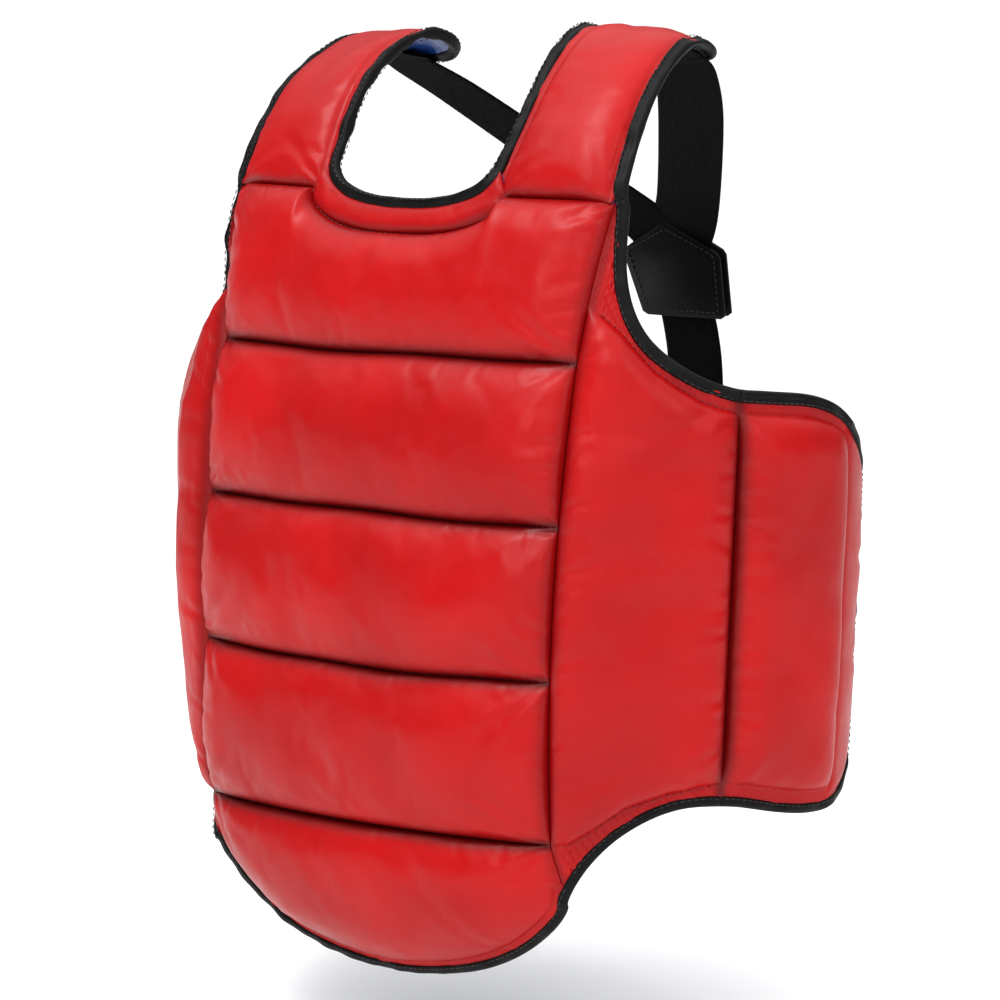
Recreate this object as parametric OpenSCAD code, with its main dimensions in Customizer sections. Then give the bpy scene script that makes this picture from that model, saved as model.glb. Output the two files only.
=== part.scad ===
// Chest protector for martial arts and boxing: padded vest front with two
// wrap-round side wings, a half-moon abdomen pad and an elastic back harness.
// Millimetres. X to the wearer's left, Y to the back, Z up. The origin lies
// midway between the undersides of the two shoulder pads, at their crest.

/* [Front panel] */
// half width of the front panel at its lowest seam
front_half_w = 138; // [134:1:142]
// radius of the front panel's sideways curve
front_curve_r = 560; // [520:10:600]
// radius of the front panel's up-and-down curve
profile_r = 960; // [900:10:1000]
// how far the foam channels stand out over the seams
front_crown = 14; // [11:0.5:16]
// how far the foam channels stand in behind the seams
back_crown = 7; // [5:0.5:8]

/* [Side wings] */
// length round the body of the wide wing pad
wide_len = 104; // [100:1:106]
// length round the body of the narrow wing pad
narrow_len = 86; // [82:1:88]
// length round the body of the thin end flap
flap_len = 50; // [46:1:52]
// crown of the wing pads over their seams
wing_crown = 12; // [9:0.5:13]

/* [Abdomen] */
// depth of the half-moon pad below its seam
abdomen_drop = 92; // [86:1:95]

/* [Shoulders] */
// width of each shoulder pad
shoulder_w = 76; // [72:1:78]
// crown of the shoulder pads over their edges
shoulder_crown = 9; // [7:0.5:10]

/* [Harness] */
// width of the elastic webbing
webbing_w = 45; // [44:1:52]
// thickness of the elastic webbing
webbing_t = 2; // [1.6:0.1:2.4]

/* [Hidden] */

skin = 1.2;
slack = 0.3;
web = 1.4;
bind_t = 2.4;
bind_w = 7;
hinge_gap = 3;
steps = 12;

red = [0.78, 0.10, 0.12];
blue = [0.06, 0.20, 0.50];
black = [0.06, 0.06, 0.07];
foam = [0.85, 0.83, 0.78];

// front panel levels
seam_z = [-95, -190, -286, -380, -479];
belly_y = -150;
belly_z = -392;
curl_r = 250;
axis_y = belly_y + front_curve_r;
front_span = 36;

// a line that leans like the wing hinge: x and y gained per unit of height
lean_x = 0.0207;
lean_y = 0.0414;
wing_base = [front_half_w, -131, seam_z[4]];

// the wing outline in its own upright frame: run round the body, height over the base
wing_low = 21;
wing_high = 278;
wide_top_line = [
    [3, 329], [30, 329], [37, 321], [49, 305],
    [63, 294], [81, 284], [92, 279], [101, 278]
];
wide_low_line = [[3, -28], [10, -19], [19, -7], [31, 5], [43, 12], [61, 19], [85, 21], [101, 21]];

// shoulder path: heading at start and end of each stretch, and its length
shoulder_path = [[66, 55, 62], [55, 30, 62], [30, -38, 44]];
shoulder_foot = [119, -91.5, -94];
shoulder_back = 4;
shoulder_thin = 0.4;
shoulder_turn = 8.5;

// harness landmarks
strap_top = [109, 29, 0];
strap_foot = [14, 158, -126];
strap_cut_y = 32;
strap_cut_z = -1.5;
strap_roll = 30;
strap_join = 38;
strap_end = -10;
strap_tail = 34.5;
yoke = [0, 169.5, -154.5];
yoke_lean = 20;
yoke_t = 2;
yoke_gap = 0.5;
// depth and height of the strap down the middle of the back
back_line = [
    [173.7, -166], [182, -188.8], [185.8, -201], [188.4, -214],
    [190.2, -232], [191.2, -258], [191.5, -290], [191.5, -368]
];
belt_z = -343;
belt_r = 231.4;
belt_back_y = 197;
belt_half_angle = 59.4;
tab_over = 5;

function edge_x(z) = front_half_w + lean_x * (z - seam_z[4]);
function curl(z) = z < seam_z[4] ? pow(z - seam_z[4], 2) / (2 * curl_r) : 0;
function mid_r(z) = front_curve_r - pow(z - belly_z, 2) / (2 * profile_r) - curl(z);
function bump(u) = pow(max(0, 1 - pow(abs(2 * u - 1), 2.6)), 1 / 2.2);
function spread(i) = (1 - cos(180 * i / steps)) / 2;

// ---- channels of the front panel, as outlines of radius and height ----
function cell_side(top, bottom, base, crown, from = 0, to = steps) = [
    for (i = [from : to])
        let (u = spread(i), z = top + (bottom - top) * u)
            [mid_r(z) + base + crown * bump(u), z]
];

function flipped(points) = [for (i = [len(points) - 1 : -1 : 0]) points[i]];

function cell_ring(top, bottom, inset) = concat(
    cell_side(top - inset, bottom + inset, web - inset + 1, front_crown),
    flipped(cell_side(top - inset, bottom + inset, inset - web - 1, -back_crown))
);

module front_sweep() {
    translate([0, axis_y, 0])
        rotate([0, 0, -90 - front_span / 2])
            rotate_extrude(angle = front_span, $fn = 180)
                children();
}

// cuts a front-view outline through the whole depth
module through_depth() {
    translate([0, 40, 0])
        rotate([90, 0, 0])
            linear_extrude(height = 260)
                children();
}

// ---- front-view outlines, each drawn on the wearer's left and mirrored ----
module both_sides(points) {
    polygon(concat(points, flipped([for (p = points) [-p.x, p.y]])));
}

neck_half = [[0, -97], [20, -96.5], [38, -94], [54, -89], [64, -83], [70, -75]];
slab_top = -67;
collar_top = -87;
collar_low = -132;
rim_low = -170;
ear_z = -144;
ear_pad_z = -112;
armhole_x = 161;
collar_half = [[0, -118], [25, -117.5], [45, -115], [62, -110], [74, -103], [79, -95]];

module front_outline() {
    both_sides(concat(
        [
            [edge_x(seam_z[4]) - hinge_gap, seam_z[4] + hinge_gap],
            [edge_x(ear_z) - hinge_gap, ear_z],
            [armhole_x, ear_z],
            [armhole_x - 2, seam_z[0]],
            [79, seam_z[0]],
            [72, seam_z[0]]
        ],
        flipped([for (p = neck_half) if (p.y < seam_z[0]) p])
    ));
}

module cell_outline(d) {
    both_sides([
        [edge_x(seam_z[4]) - hinge_gap - d, seam_z[4] + hinge_gap],
        [edge_x(ear_pad_z) - hinge_gap - d, ear_pad_z],
        [armhole_x - bind_w - 3 - d, ear_pad_z + 2 + d],
        [armhole_x - bind_w - 3 - d, seam_z[0] - d],
        [0, seam_z[0] - d]
    ]);
}

module chest_outline(d) {
    difference() {
        cell_outline(d);
        both_sides(concat(
            [[0, 0], [80 + d, 0], [80 + d, seam_z[0]]],
            flipped([for (p = collar_half) [p.x + d * 0.6, p.y - d]])
        ));
    }
}

module collar_outline(d) {
    difference() {
        both_sides(flipped([for (p = collar_half) [p.x, min(p.y + d, seam_z[0] - d)]]));
        both_sides([for (p = neck_half) [p.x + bind_w * 0.9 + d, p.y - bind_w - d - slack]]);
        translate([-100, seam_z[0] - d])
            square([200, 40]);
    }
}

module foam_slab(top, bottom, inset) {
    front_sweep()
        polygon(cell_ring(top, bottom, inset));
}

module front_pockets(inset) {
    for (i = [1 : 3])
        intersection() {
            foam_slab(seam_z[i], seam_z[i + 1] + (i == 3 ? hinge_gap : 0), inset);
            through_depth() cell_outline(inset);
        }
    chest_pad(inset);
    collar_pad(inset);
}

module chest_pad(inset) {
    intersection() {
        foam_slab(slab_top, seam_z[1], inset);
        through_depth() chest_outline(inset);
    }
}

module collar_pad(inset) {
    intersection() {
        front_sweep()
            polygon(concat(
                cell_side(collar_top, collar_low, 5 - inset, 0),
                flipped(cell_side(collar_top, collar_low, inset - 4, 0))
            ));
        through_depth() collar_outline(inset);
    }
}

// the stitched web between the channels, seen from the side
module front_half_shell(front) {
    low = seam_z[4] + hinge_gap;
    base = front ? 0.1 : -0.1;
    away = front ? 1 : -1;
    crown = front ? front_crown : -back_crown;
    intersection() {
        front_sweep()
            polygon(concat(
                cell_side(slab_top, seam_z[1], away * (web + 1), crown),
                cell_side(seam_z[1], seam_z[2], away * (web + 1), crown),
                cell_side(seam_z[2], seam_z[3], away * (web + 1), crown),
                cell_side(seam_z[3], low, away * (web + 1), crown),
                flipped(cell_side(slab_top, low, base, 0))
            ));
        through_depth() shell_outline();
    }
}

module shell_outline() {
    difference() {
        front_outline();
        neck_rim(bind_w);
        armhole_rim(bind_w);
        mirror([1, 0]) armhole_rim(bind_w);
    }
}

module front_cover() {
    color(red)
        difference() {
            front_half_shell(true);
            front_pockets(skin);
            collar_relief(true);
        }
}

module front_lining() {
    color(blue)
        difference() {
            front_half_shell(false);
            front_pockets(skin);
            collar_relief(false);
        }
}

// lowers the skin over the thin collar channel
module collar_relief(front) {
    away = front ? 6 : -5;
    far = front ? 60 : -60;
    intersection() {
        front_sweep()
            polygon(concat(
                cell_side(slab_top, collar_low, away, 0),
                flipped(cell_side(slab_top, collar_low, far, 0))
            ));
        through_depth()
            both_sides(concat([[0, 0], [79, 0]], flipped(collar_half)));
    }
}

module chest_foam() {
    color(foam) chest_pad(skin + slack);
}

module rib_foam(i) {
    color(foam)
        intersection() {
            foam_slab(seam_z[i], seam_z[i + 1] + (i == 3 ? hinge_gap : 0), skin + slack);
            through_depth() cell_outline(skin + slack);
        }
}

module upper_rib_foam() {
    rib_foam(1);
}

module middle_rib_foam() {
    rib_foam(2);
}

module lower_rib_foam() {
    rib_foam(3);
}

module collar_foam() {
    color(foam) collar_pad(skin + slack);
}

// ---- bound edges of the front panel ----
module neck_rim(w) {
    difference() {
        both_sides(concat([for (p = neck_half) [p.x + w * 0.9, p.y - w]], [[79, -73], [79, 0], [0, 0]]));
        both_sides(concat(neck_half, [[73, -67], [72, 10], [0, 10]]));
    }
}

module armhole_rim(w) {
    difference() {
        polygon([[armhole_x - w, ear_z], [armhole_x + 9, ear_z], [armhole_x + 9, slab_top], [armhole_x - 3 - w, slab_top]]);
        polygon([[armhole_x, ear_z - 9], [190, ear_z - 9], [190, slab_top + 9], [armhole_x - 3, slab_top + 9]]);
    }
}

module thin_front(t) {
    front_sweep()
        polygon(concat(
            cell_side(slab_top, rim_low, t, 0),
            flipped(cell_side(slab_top, rim_low, -t, 0))
        ));
}

module neck_binding() {
    color(black) {
        intersection() {
            thin_front(bind_t);
            through_depth()
                intersection() {
                    neck_rim(bind_w);
                    translate([-100, -130]) square([200, 130 + seam_z[0]]);
                }
        }
        shoulder_edge(-shoulder_w / 2, -shoulder_w / 2 + bind_w);
        mirror([1, 0, 0]) shoulder_edge(-shoulder_w / 2, -shoulder_w / 2 + bind_w);
    }
}

module armhole_binding() {
    color(black) {
        intersection() {
            thin_front(bind_t);
            through_depth()
                intersection() {
                    armhole_rim(bind_w);
                    translate([100, ear_z]) square([100, seam_z[0] - ear_z]);
                }
        }
        shoulder_edge(shoulder_w / 2 - bind_w, shoulder_w / 2);
    }
}

module left_armhole_binding() {
    armhole_binding();
}

module right_armhole_binding() {
    mirror([1, 0, 0]) armhole_binding();
}

// ---- paths made of short arcs ----
function arc_pt(p, h0, h1, run, s, t) =
    let (h = h0 + (h1 - h0) * s / run, k = (h1 - h0) * PI / 180 / run)
        [p.x + (sin(h) - sin(h0)) / k + t * sin(h), p.y + (cos(h0) - cos(h)) / k - t * cos(h)];

function arc_side(p, a, from, to, base, crown, n = steps) = [
    for (i = [0 : n])
        let (u = n == steps ? spread(i) : i / n)
            arc_pt(p, a[0], a[1], a[2], from + (to - from) * u, base + crown * bump(u))
];

function arc_band(p, a, from, to, low, high) = concat(
    arc_side(p, a, from, to, high, 0, 6),
    flipped(arc_side(p, a, from, to, low, 0, 6))
);

function arc_pad(p, a, from, to, low, high, back, front) = concat(
    arc_side(p, a, from, to, high, front),
    flipped(arc_side(p, a, from, to, low, -back))
);

function arc_end(p, a) = arc_pt(p, a[0], a[1], a[2], a[2], 0);

// ---- shoulders: paths in the plane of depth and height, swept sideways ----
shoulder_start = [
    [0, 0],
    arc_end([0, 0], shoulder_path[0]),
    arc_end(arc_end([0, 0], shoulder_path[0]), shoulder_path[1])
];

function shoulder_side(base, crown, trim) = [
    for (j = [0 : 2])
        for (i = [0 : 6])
            if (j == 2 || i < 6)
                let (
                    a = shoulder_path[j],
                    s = a[2] * i / 6,
                    run = 168,
                    before = j == 0 ? 0 : (j == 1 ? 62 : 124),
                    u = (before + s) / run,
                    s2 = j == 0 ? max(s, trim) : (j == 2 ? min(s, a[2] - trim) : s)
                )
                    arc_pt(shoulder_start[j], a[0], a[1], a[2], s2, base + crown * bump(u) * (1 - shoulder_thin * u * u))
];

module place_shoulder() {
    translate(shoulder_foot)
        rotate([0, 0, shoulder_turn])
            rotate([90, 0, 90])
                children();
}

module shoulder_slab(low, high, back, front, from, to, trim) {
    translate([0, 0, from])
        linear_extrude(height = to - from)
            polygon(concat(
                shoulder_side(-high, -front, trim),
                flipped(shoulder_side(-low, back, trim))
            ));
}

module shoulder_edge(from, to) {
    place_shoulder()
        shoulder_slab(-bind_t, bind_t, 0, 0, from, to, 0.5);
}

module shoulder_pocket(inset) {
    place_shoulder()
        shoulder_slab(
            inset - web - 1, web + 1 - inset,
            shoulder_back, shoulder_crown,
            -shoulder_w / 2 + bind_w + inset + slack, shoulder_w / 2 - bind_w - inset - slack,
            inset + 1
        );
}

module shoulder_skin(front) {
    difference() {
        place_shoulder()
            shoulder_slab(
                front ? 0.1 : -web - 1, front ? web + 1 : -0.1,
                front ? 0 : shoulder_back, front ? shoulder_crown : 0,
                -shoulder_w / 2 + bind_w + slack, shoulder_w / 2 - bind_w - slack,
                1
            );
        shoulder_pocket(skin);
    }
}

module left_shoulder_foam() {
    color(foam) shoulder_pocket(skin + slack);
}

module right_shoulder_foam() {
    mirror([1, 0, 0]) left_shoulder_foam();
}

module left_shoulder_cover() {
    color(red) shoulder_skin(true);
}

module right_shoulder_cover() {
    mirror([1, 0, 0]) left_shoulder_cover();
}

module left_shoulder_lining() {
    color(blue) shoulder_skin(false);
}

module right_shoulder_lining() {
    mirror([1, 0, 0]) left_shoulder_lining();
}

// ---- abdomen: the half-moon below the lowest seam ----
moon_top = seam_z[4] - hinge_gap;

module half_moon(d, drop = 0) {
    intersection() {
        translate([0, seam_z[4]])
            polygon([
                for (i = [0 : 36])
                    let (a = 180 + 180 * i / 36)
                        [(front_half_w - 2 - d) * cos(a), (abdomen_drop - d) * sin(a)]
            ]);
        translate([-200, moon_top - drop - 200])
            square([400, 200]);
    }
}

module moon_band(low, high) {
    front_sweep()
        polygon(concat(
            cell_side(moon_top, -600, high, 0),
            flipped(cell_side(moon_top, -600, low, 0))
        ));
}

// the pad is thickest in the middle and thinner towards its bound edge
module moon_slab(low, high, d, drop) {
    for (k = [0 : 2])
        intersection() {
            moon_band(low * moon_step[k], high * moon_step[k]);
            through_depth() half_moon(d + 6 * k, drop + 4 * k);
        }
}

moon_step = [0.45, 0.78, 1];

module abdomen_pocket(inset) {
    moon_slab(-back_crown - web, front_crown + web - 1, bind_w + slack + inset, inset);
}

module abdomen_half(front) {
    difference() {
        moon_slab(
            front ? 0.1 : -back_crown - web - skin,
            front ? front_crown + web + 1 : -0.1,
            bind_w + slack, 0
        );
        abdomen_pocket(skin);
    }
}

module abdomen_foam() {
    color(foam) moon_slab(-back_crown - web + 1.2, front_crown + web - 2.2, bind_w + slack + skin + slack, skin + slack);
}

module abdomen_cover() {
    color(red) abdomen_half(true);
}

module abdomen_lining() {
    color(blue) abdomen_half(false);
}

module abdomen_binding() {
    color(black)
        intersection() {
            moon_band(-bind_t, bind_t);
            through_depth()
                difference() {
                    half_moon(0);
                    half_moon(bind_w, -1);
                }
        }
}

// ---- wings: plan paths swept upward, then leaned like the front's side ----
wide_arc = [45, 53, wide_len];
narrow_arc = [71, 85, narrow_len];
flap_arc = [96, 132, flap_len];
wide_start = [0, 0];
narrow_start = arc_end(wide_start, wide_arc);
flap_start = arc_end(narrow_start, narrow_arc);

module place_wing() {
    translate(wing_base)
        rotate([-atan(lean_y), atan(lean_x), 0])
            children();
}

module rise(low, high) {
    translate([0, 0, low])
        linear_extrude(height = high - low)
            children();
}

// cuts a side-view outline, drawn along the path from p at heading h
module across(p, h) {
    translate([p.x, p.y, 0])
        rotate([0, 0, h])
            translate([0, 120, 0])
                rotate([90, 0, 0])
                    linear_extrude(height = 240)
                        children();
}

module wide_outline(d) {
    polygon(concat(
        [for (p = wide_low_line) [p.x, p.y + d]],
        flipped([for (p = wide_top_line) [p.x == 30 ? p.x - 0.5 * d : p.x, p.y - d]])
    ));
}

module wide_pad_outline(d) {
    intersection() {
        wide_outline(bind_w + d);
        polygon([[3, d], [101, 28 + d], [101, 262 - d], [50, 280 - d], [3, 302 - d]]);
    }
}

module wide_pocket(inset) {
    intersection() {
        rise(-40, 360)
            polygon(arc_pad(
                wide_start, wide_arc, hinge_gap + inset, wide_len - hinge_gap - inset,
                inset - web - 1, web + 1 - inset, back_crown, wing_crown
            ));
        across(wide_start, 49) wide_pad_outline(inset);
    }
}

module wide_half(front) {
    difference() {
        intersection() {
            rise(-40, 360)
                polygon(arc_pad(
                    wide_start, wide_arc, hinge_gap, wide_len - hinge_gap,
                    front ? 0.1 : -web - 1, front ? web + 1 : -0.1,
                    front ? 0 : back_crown, front ? wing_crown : 0
                ));
            across(wide_start, 49) wide_outline(bind_w + slack);
        }
        wide_pocket(skin);
    }
}

module wide_binding() {
    color(black)
        intersection() {
            rise(-40, 360)
                polygon(arc_band(wide_start, wide_arc, hinge_gap, wide_len - hinge_gap, -bind_t, bind_t));
            across(wide_start, 49)
                difference() {
                    wide_outline(0);
                    wide_outline(bind_w);
                }
        }
}

module left_wide_foam() {
    color(foam) place_wing() wide_pocket(skin + slack);
}

module left_wide_cover() {
    color(red) place_wing() wide_half(true);
}

module left_wide_lining() {
    color(blue) place_wing() wide_half(false);
}

module left_wide_binding() {
    place_wing() wide_binding();
}

module right_wide_foam() {
    mirror([1, 0, 0]) left_wide_foam();
}

module right_wide_cover() {
    mirror([1, 0, 0]) left_wide_cover();
}

module right_wide_lining() {
    mirror([1, 0, 0]) left_wide_lining();
}

module right_wide_binding() {
    mirror([1, 0, 0]) left_wide_binding();
}

// the narrow pad and the thin flap behind it share one cover and lining
module narrow_pocket(inset) {
    rise(wing_low + 15 + inset, wing_high - 15 - inset)
        polygon(arc_pad(
            narrow_start, narrow_arc, hinge_gap + inset, narrow_len - inset,
            inset - web - 1, web + 1 - inset, back_crown, wing_crown
        ));
}

module narrow_half(front) {
    low = front ? 0.1 : -web - 1;
    high = front ? web + 1 : -0.1;
    difference() {
        union() {
            rise(wing_low + bind_w + slack, wing_high - bind_w - slack)
                polygon(arc_pad(
                    narrow_start, narrow_arc, hinge_gap, narrow_len,
                    low, high, front ? 0 : back_crown, front ? wing_crown : 0
                ));
            intersection() {
                rise(wing_low + bind_w + slack, wing_high - bind_w - slack)
                    polygon(arc_band(flap_start, flap_arc, -0.5, flap_len - bind_w, low, high));
                across(flap_start, 114) flap_outline(bind_w + slack);
            }
        }
        narrow_pocket(skin);
    }
}

module flap_outline(d) {
    low = wing_low + d;
    high = wing_high - d;
    tip = flap_len * 0.98 - d;
    cut = 22;
    polygon([[-12, low], [tip - cut, low], [tip, low + cut], [tip, high - cut], [tip - cut, high], [-12, high]]);
}

function end_path(low, high, from, to) = concat(
    arc_side(narrow_start, narrow_arc, from, narrow_len, high, 0, 6),
    arc_side(flap_start, flap_arc, 2, to, high, 0, 6),
    flipped(arc_side(flap_start, flap_arc, 2, to, low, 0, 6)),
    flipped(arc_side(narrow_start, narrow_arc, from, narrow_len, low, 0, 6))
);

// side-view cut that takes off the two corners at the wing's end
module end_corners(d) {
    tip = flap_len * 0.98 - d;
    cut = 22 - d * 0.4;
    low = wing_low + d;
    high = wing_high - d;
    across(flap_start, 114)
        polygon([
            [-160, low - 20], [tip - cut - 20, low - 20], [tip + 15, low + cut + 15],
            [tip + 15, high - cut - 15], [tip - cut - 20, high + 20], [-160, high + 20]
        ]);
}

module end_binding() {
    color(black)
        difference() {
            intersection() {
                rise(wing_low, wing_high)
                    polygon(end_path(-bind_t, bind_t, hinge_gap, flap_len));
                end_corners(0);
            }
            intersection() {
                rise(wing_low + bind_w, wing_high - bind_w)
                    polygon(end_path(-6, 6, -1, flap_len - bind_w));
                end_corners(bind_w);
            }
        }
}

module left_narrow_foam() {
    color(foam) place_wing() narrow_pocket(skin + slack);
}

module left_narrow_cover() {
    color(red) place_wing() narrow_half(true);
}

module left_narrow_lining() {
    color(blue) place_wing() narrow_half(false);
}

module left_end_binding() {
    place_wing() end_binding();
}

module left_loop_patch() {
    color(black)
        place_wing()
            rise(118, 166)
                polygon(arc_band(flap_start, flap_arc, 8, flap_len - bind_w - 2, -web - 2, -web - 1.1));
}

module right_narrow_foam() {
    mirror([1, 0, 0]) left_narrow_foam();
}

module right_narrow_cover() {
    mirror([1, 0, 0]) left_narrow_cover();
}

module right_narrow_lining() {
    mirror([1, 0, 0]) left_narrow_lining();
}

module right_end_binding() {
    mirror([1, 0, 0]) left_end_binding();
}

module right_loop_patch() {
    mirror([1, 0, 0]) left_loop_patch();
}

// ---- back harness ----
strap_run = strap_foot - strap_top;
strap_len = norm(strap_run);
strap_pitch = asin(strap_run.z / strap_len);
strap_yaw = atan2(strap_run.y, strap_run.x);

// a leaning frame whose X-Z plane is the middle plane of the yoke
module place_yoke() {
    translate(yoke)
        rotate([yoke_lean, 0, 0])
            children();
}

module left_shoulder_strap() {
    color(black)
        difference() {
            union() {
                translate(strap_top)
                    rotate([strap_roll, -strap_pitch, strap_yaw])
                        translate([-14, -webbing_w / 2, 0])
                            cube([strap_len + 34, webbing_w, webbing_t]);
                place_yoke()
                    translate([0, -webbing_t / 2, strap_end])
                        cube([strap_tail, webbing_t, strap_join - strap_end]);
            }
            place_yoke()
                translate([-100, webbing_t / 2, -100])
                    cube([200, 60, 200]);
            translate([-100 + slack + 0.2, 0, -300])
                cube([100, 300, 400]);
            translate([0, strap_cut_y - 100, -100])
                cube([200, 100, 200]);
            translate([0, 0, strap_cut_z])
                cube([200, 200, 100]);
        }
}

module right_shoulder_strap() {
    mirror([1, 0, 0]) left_shoulder_strap();
}

module pentagon(d) {
    both_sides([
        [0, -35 + d],
        [34.5 - d, -35 + d],
        [41 - d, 11.5],
        [0, 35 - d * 1.3]
    ]);
}

module yoke_plate(y) {
    place_yoke()
        translate([0, y + yoke_t, 0])
            rotate([90, 0, 0])
                linear_extrude(height = yoke_t)
                    pentagon(0);
}

module yoke_patch_outer() {
    color(black) yoke_plate(webbing_t / 2 + yoke_gap);
}

module yoke_patch_inner() {
    color(black) yoke_plate(-webbing_t / 2 - yoke_gap - yoke_t);
}

module centre_strap() {
    color(black)
        rotate([90, 0, 90])
            translate([0, 0, -webbing_w / 2])
                linear_extrude(height = webbing_w)
                    polygon(concat(
                        [for (p = back_line) [p.x + webbing_t / 2, p.y]],
                        flipped([for (p = back_line) [p.x - webbing_t / 2, p.y]])
                    ));
}

module waist_belt() {
    color(black)
        translate([0, belt_back_y - belt_r, belt_z - webbing_w / 2])
            rotate([0, 0, 90 - belt_half_angle])
                rotate_extrude(angle = 2 * belt_half_angle, $fn = 120)
                    translate([belt_r - webbing_t, 0])
                        square([webbing_t, webbing_w]);
}

module left_hook_tab() {
    color(black)
        place_wing()
            rise(120, 164)
                polygon(arc_band(flap_start, flap_arc, 10, flap_len + tab_over, -web - 4.2, -web - 2.6));
}

module right_hook_tab() {
    mirror([1, 0, 0]) left_hook_tab();
}

chest_foam();
upper_rib_foam();
middle_rib_foam();
lower_rib_foam();
collar_foam();
left_shoulder_foam();
right_shoulder_foam();
front_cover();
front_lining();
left_shoulder_cover();
right_shoulder_cover();
left_shoulder_lining();
right_shoulder_lining();
neck_binding();
left_armhole_binding();
right_armhole_binding();
abdomen_foam();
abdomen_cover();
abdomen_lining();
abdomen_binding();
left_wide_foam();
left_wide_cover();
left_wide_lining();
left_wide_binding();
right_wide_foam();
right_wide_cover();
right_wide_lining();
right_wide_binding();
left_narrow_foam();
left_narrow_cover();
left_narrow_lining();
left_end_binding();
left_loop_patch();
right_narrow_foam();
right_narrow_cover();
right_narrow_lining();
right_end_binding();
right_loop_patch();
left_shoulder_strap();
right_shoulder_strap();
yoke_patch_outer();
yoke_patch_inner();
centre_strap();
waist_belt();
left_hook_tab();
right_hook_tab();
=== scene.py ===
import math

import bmesh
import bpy
import numpy as np
from mathutils import Matrix, Vector


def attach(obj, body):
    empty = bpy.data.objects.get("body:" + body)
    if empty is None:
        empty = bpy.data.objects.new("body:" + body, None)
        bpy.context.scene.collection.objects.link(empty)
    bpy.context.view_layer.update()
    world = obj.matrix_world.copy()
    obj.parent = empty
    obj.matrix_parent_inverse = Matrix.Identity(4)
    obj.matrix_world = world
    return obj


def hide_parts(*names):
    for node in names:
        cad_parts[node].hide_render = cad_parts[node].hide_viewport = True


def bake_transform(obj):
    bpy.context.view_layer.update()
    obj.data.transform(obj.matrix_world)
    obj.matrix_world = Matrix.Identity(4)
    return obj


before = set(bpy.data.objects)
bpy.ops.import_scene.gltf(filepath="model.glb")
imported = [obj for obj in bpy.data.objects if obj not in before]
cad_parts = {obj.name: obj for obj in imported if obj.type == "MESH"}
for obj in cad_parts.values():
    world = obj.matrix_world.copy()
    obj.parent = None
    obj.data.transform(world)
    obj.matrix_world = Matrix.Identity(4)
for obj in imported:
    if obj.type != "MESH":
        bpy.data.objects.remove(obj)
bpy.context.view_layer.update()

MM = 0.001

# ---------------------------------------------------------------- the vest's surfaces, in millimetres
SEAMS = [-95, -190, -286, -380, -479]
BELLY_Y, BELLY_Z = -150, -392
CURVE_R, PROFILE_R, CURL_R = 560, 960, 250
HALF_W, LEAN_X, LEAN_Y = 138, 0.0207, 0.0414
WING_BASE = np.array([138.0, -131.0, -479.0])
WIDE_LEN, NARROW_LEN, FLAP_LEN = 104.0, 86.0, 50.0
WING_ARCS = [(45, 53, WIDE_LEN), (71, 85, NARROW_LEN), (96, 132, FLAP_LEN)]
SHOULDER_FOOT = np.array([119.0, -91.5, -94.0])
SHOULDER_TURN = math.radians(8.5)
SHOULDER_ARCS = [(66, 55, 62.0), (55, 23, 62.0), (23, -46, 48.0)]
SHOULDER_RUN = sum(a[2] for a in SHOULDER_ARCS)
SHOULDER_HALF = 38.0
BINDING_W, BINDING_THICK = 4.9, 2.5
RIM = 1.3


def unit(v):
    return v / np.maximum(np.linalg.norm(v, axis=-1, keepdims=True), 1e-9)


def ease(t):
    t = np.clip(t, 0, 1)
    return t * t * (3 - 2 * t)


def run_along(points):
    """Distance along a line at each of its points."""
    return np.concatenate([[0], np.cumsum(np.linalg.norm(np.diff(points, axis=0), axis=1))])


def turned(way, angle):
    c, s = math.cos(angle), math.sin(angle)
    return np.array([way[0] * c - way[1] * s, way[0] * s + way[1] * c])


def edge_x(z):
    return HALF_W + LEAN_X * (z - SEAMS[4])


SEAM_LINE = np.array([(-512, 145.3), (-498, 142.0), (-486, 139.2), (-479, 138), (-380, 139.8), (-286, 141.5),
                      (-190, 142.6), (-147, 145.0), (-116, 148.0), (-95, 150.5), (-80, 152.0)])


def seam_x(z):
    """Half width of the front panel's pads: where they meet the wings."""
    return np.interp(z, SEAM_LINE[:, 0], SEAM_LINE[:, 1])


def front_surface(x, z):
    turn = np.arcsin(np.clip(x / CURVE_R, -0.9, 0.9))
    below = np.minimum(z - SEAMS[4], 0)
    y = BELLY_Y + (z - BELLY_Z) ** 2 / (2 * PROFILE_R) + below ** 2 / (2 * CURL_R) + CURVE_R * (1 - np.cos(turn))
    p = np.stack([x, y, z], -1)
    n = np.stack([np.tan(turn), -np.ones_like(x), (z - BELLY_Z) / PROFILE_R + below / CURL_R], -1)
    return p, unit(n)


def arc_path(arcs, s):
    """Points and headings along a chain of arcs, for run s from its start."""
    s = np.asarray(s, float)
    x, y, head = np.zeros_like(s), np.zeros_like(s), np.zeros_like(s)
    px, py, before = 0.0, 0.0, 0.0
    for i, (h0, h1, run) in enumerate(arcs):
        k = math.radians(h1 - h0) / run
        a0 = math.radians(h0)
        last = i == len(arcs) - 1
        here = (s >= before) if last else (s >= before) & (s <= before + run)
        if i == 0:
            here = here | (s < 0)
        h = a0 + k * (s - before)
        x = np.where(here, px + (np.sin(h) - math.sin(a0)) / k, x)
        y = np.where(here, py + (math.cos(a0) - np.cos(h)) / k, y)
        head = np.where(here, h, head)
        a1 = math.radians(h1)
        px += (math.sin(a1) - math.sin(a0)) / k
        py += (math.cos(a0) - math.cos(a1)) / k
        before += run
    return x, y, head


WING_TURN = np.array((Matrix.Rotation(math.atan(LEAN_X), 3, "Y") @ Matrix.Rotation(-math.atan(LEAN_Y), 3, "X")))


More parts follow.
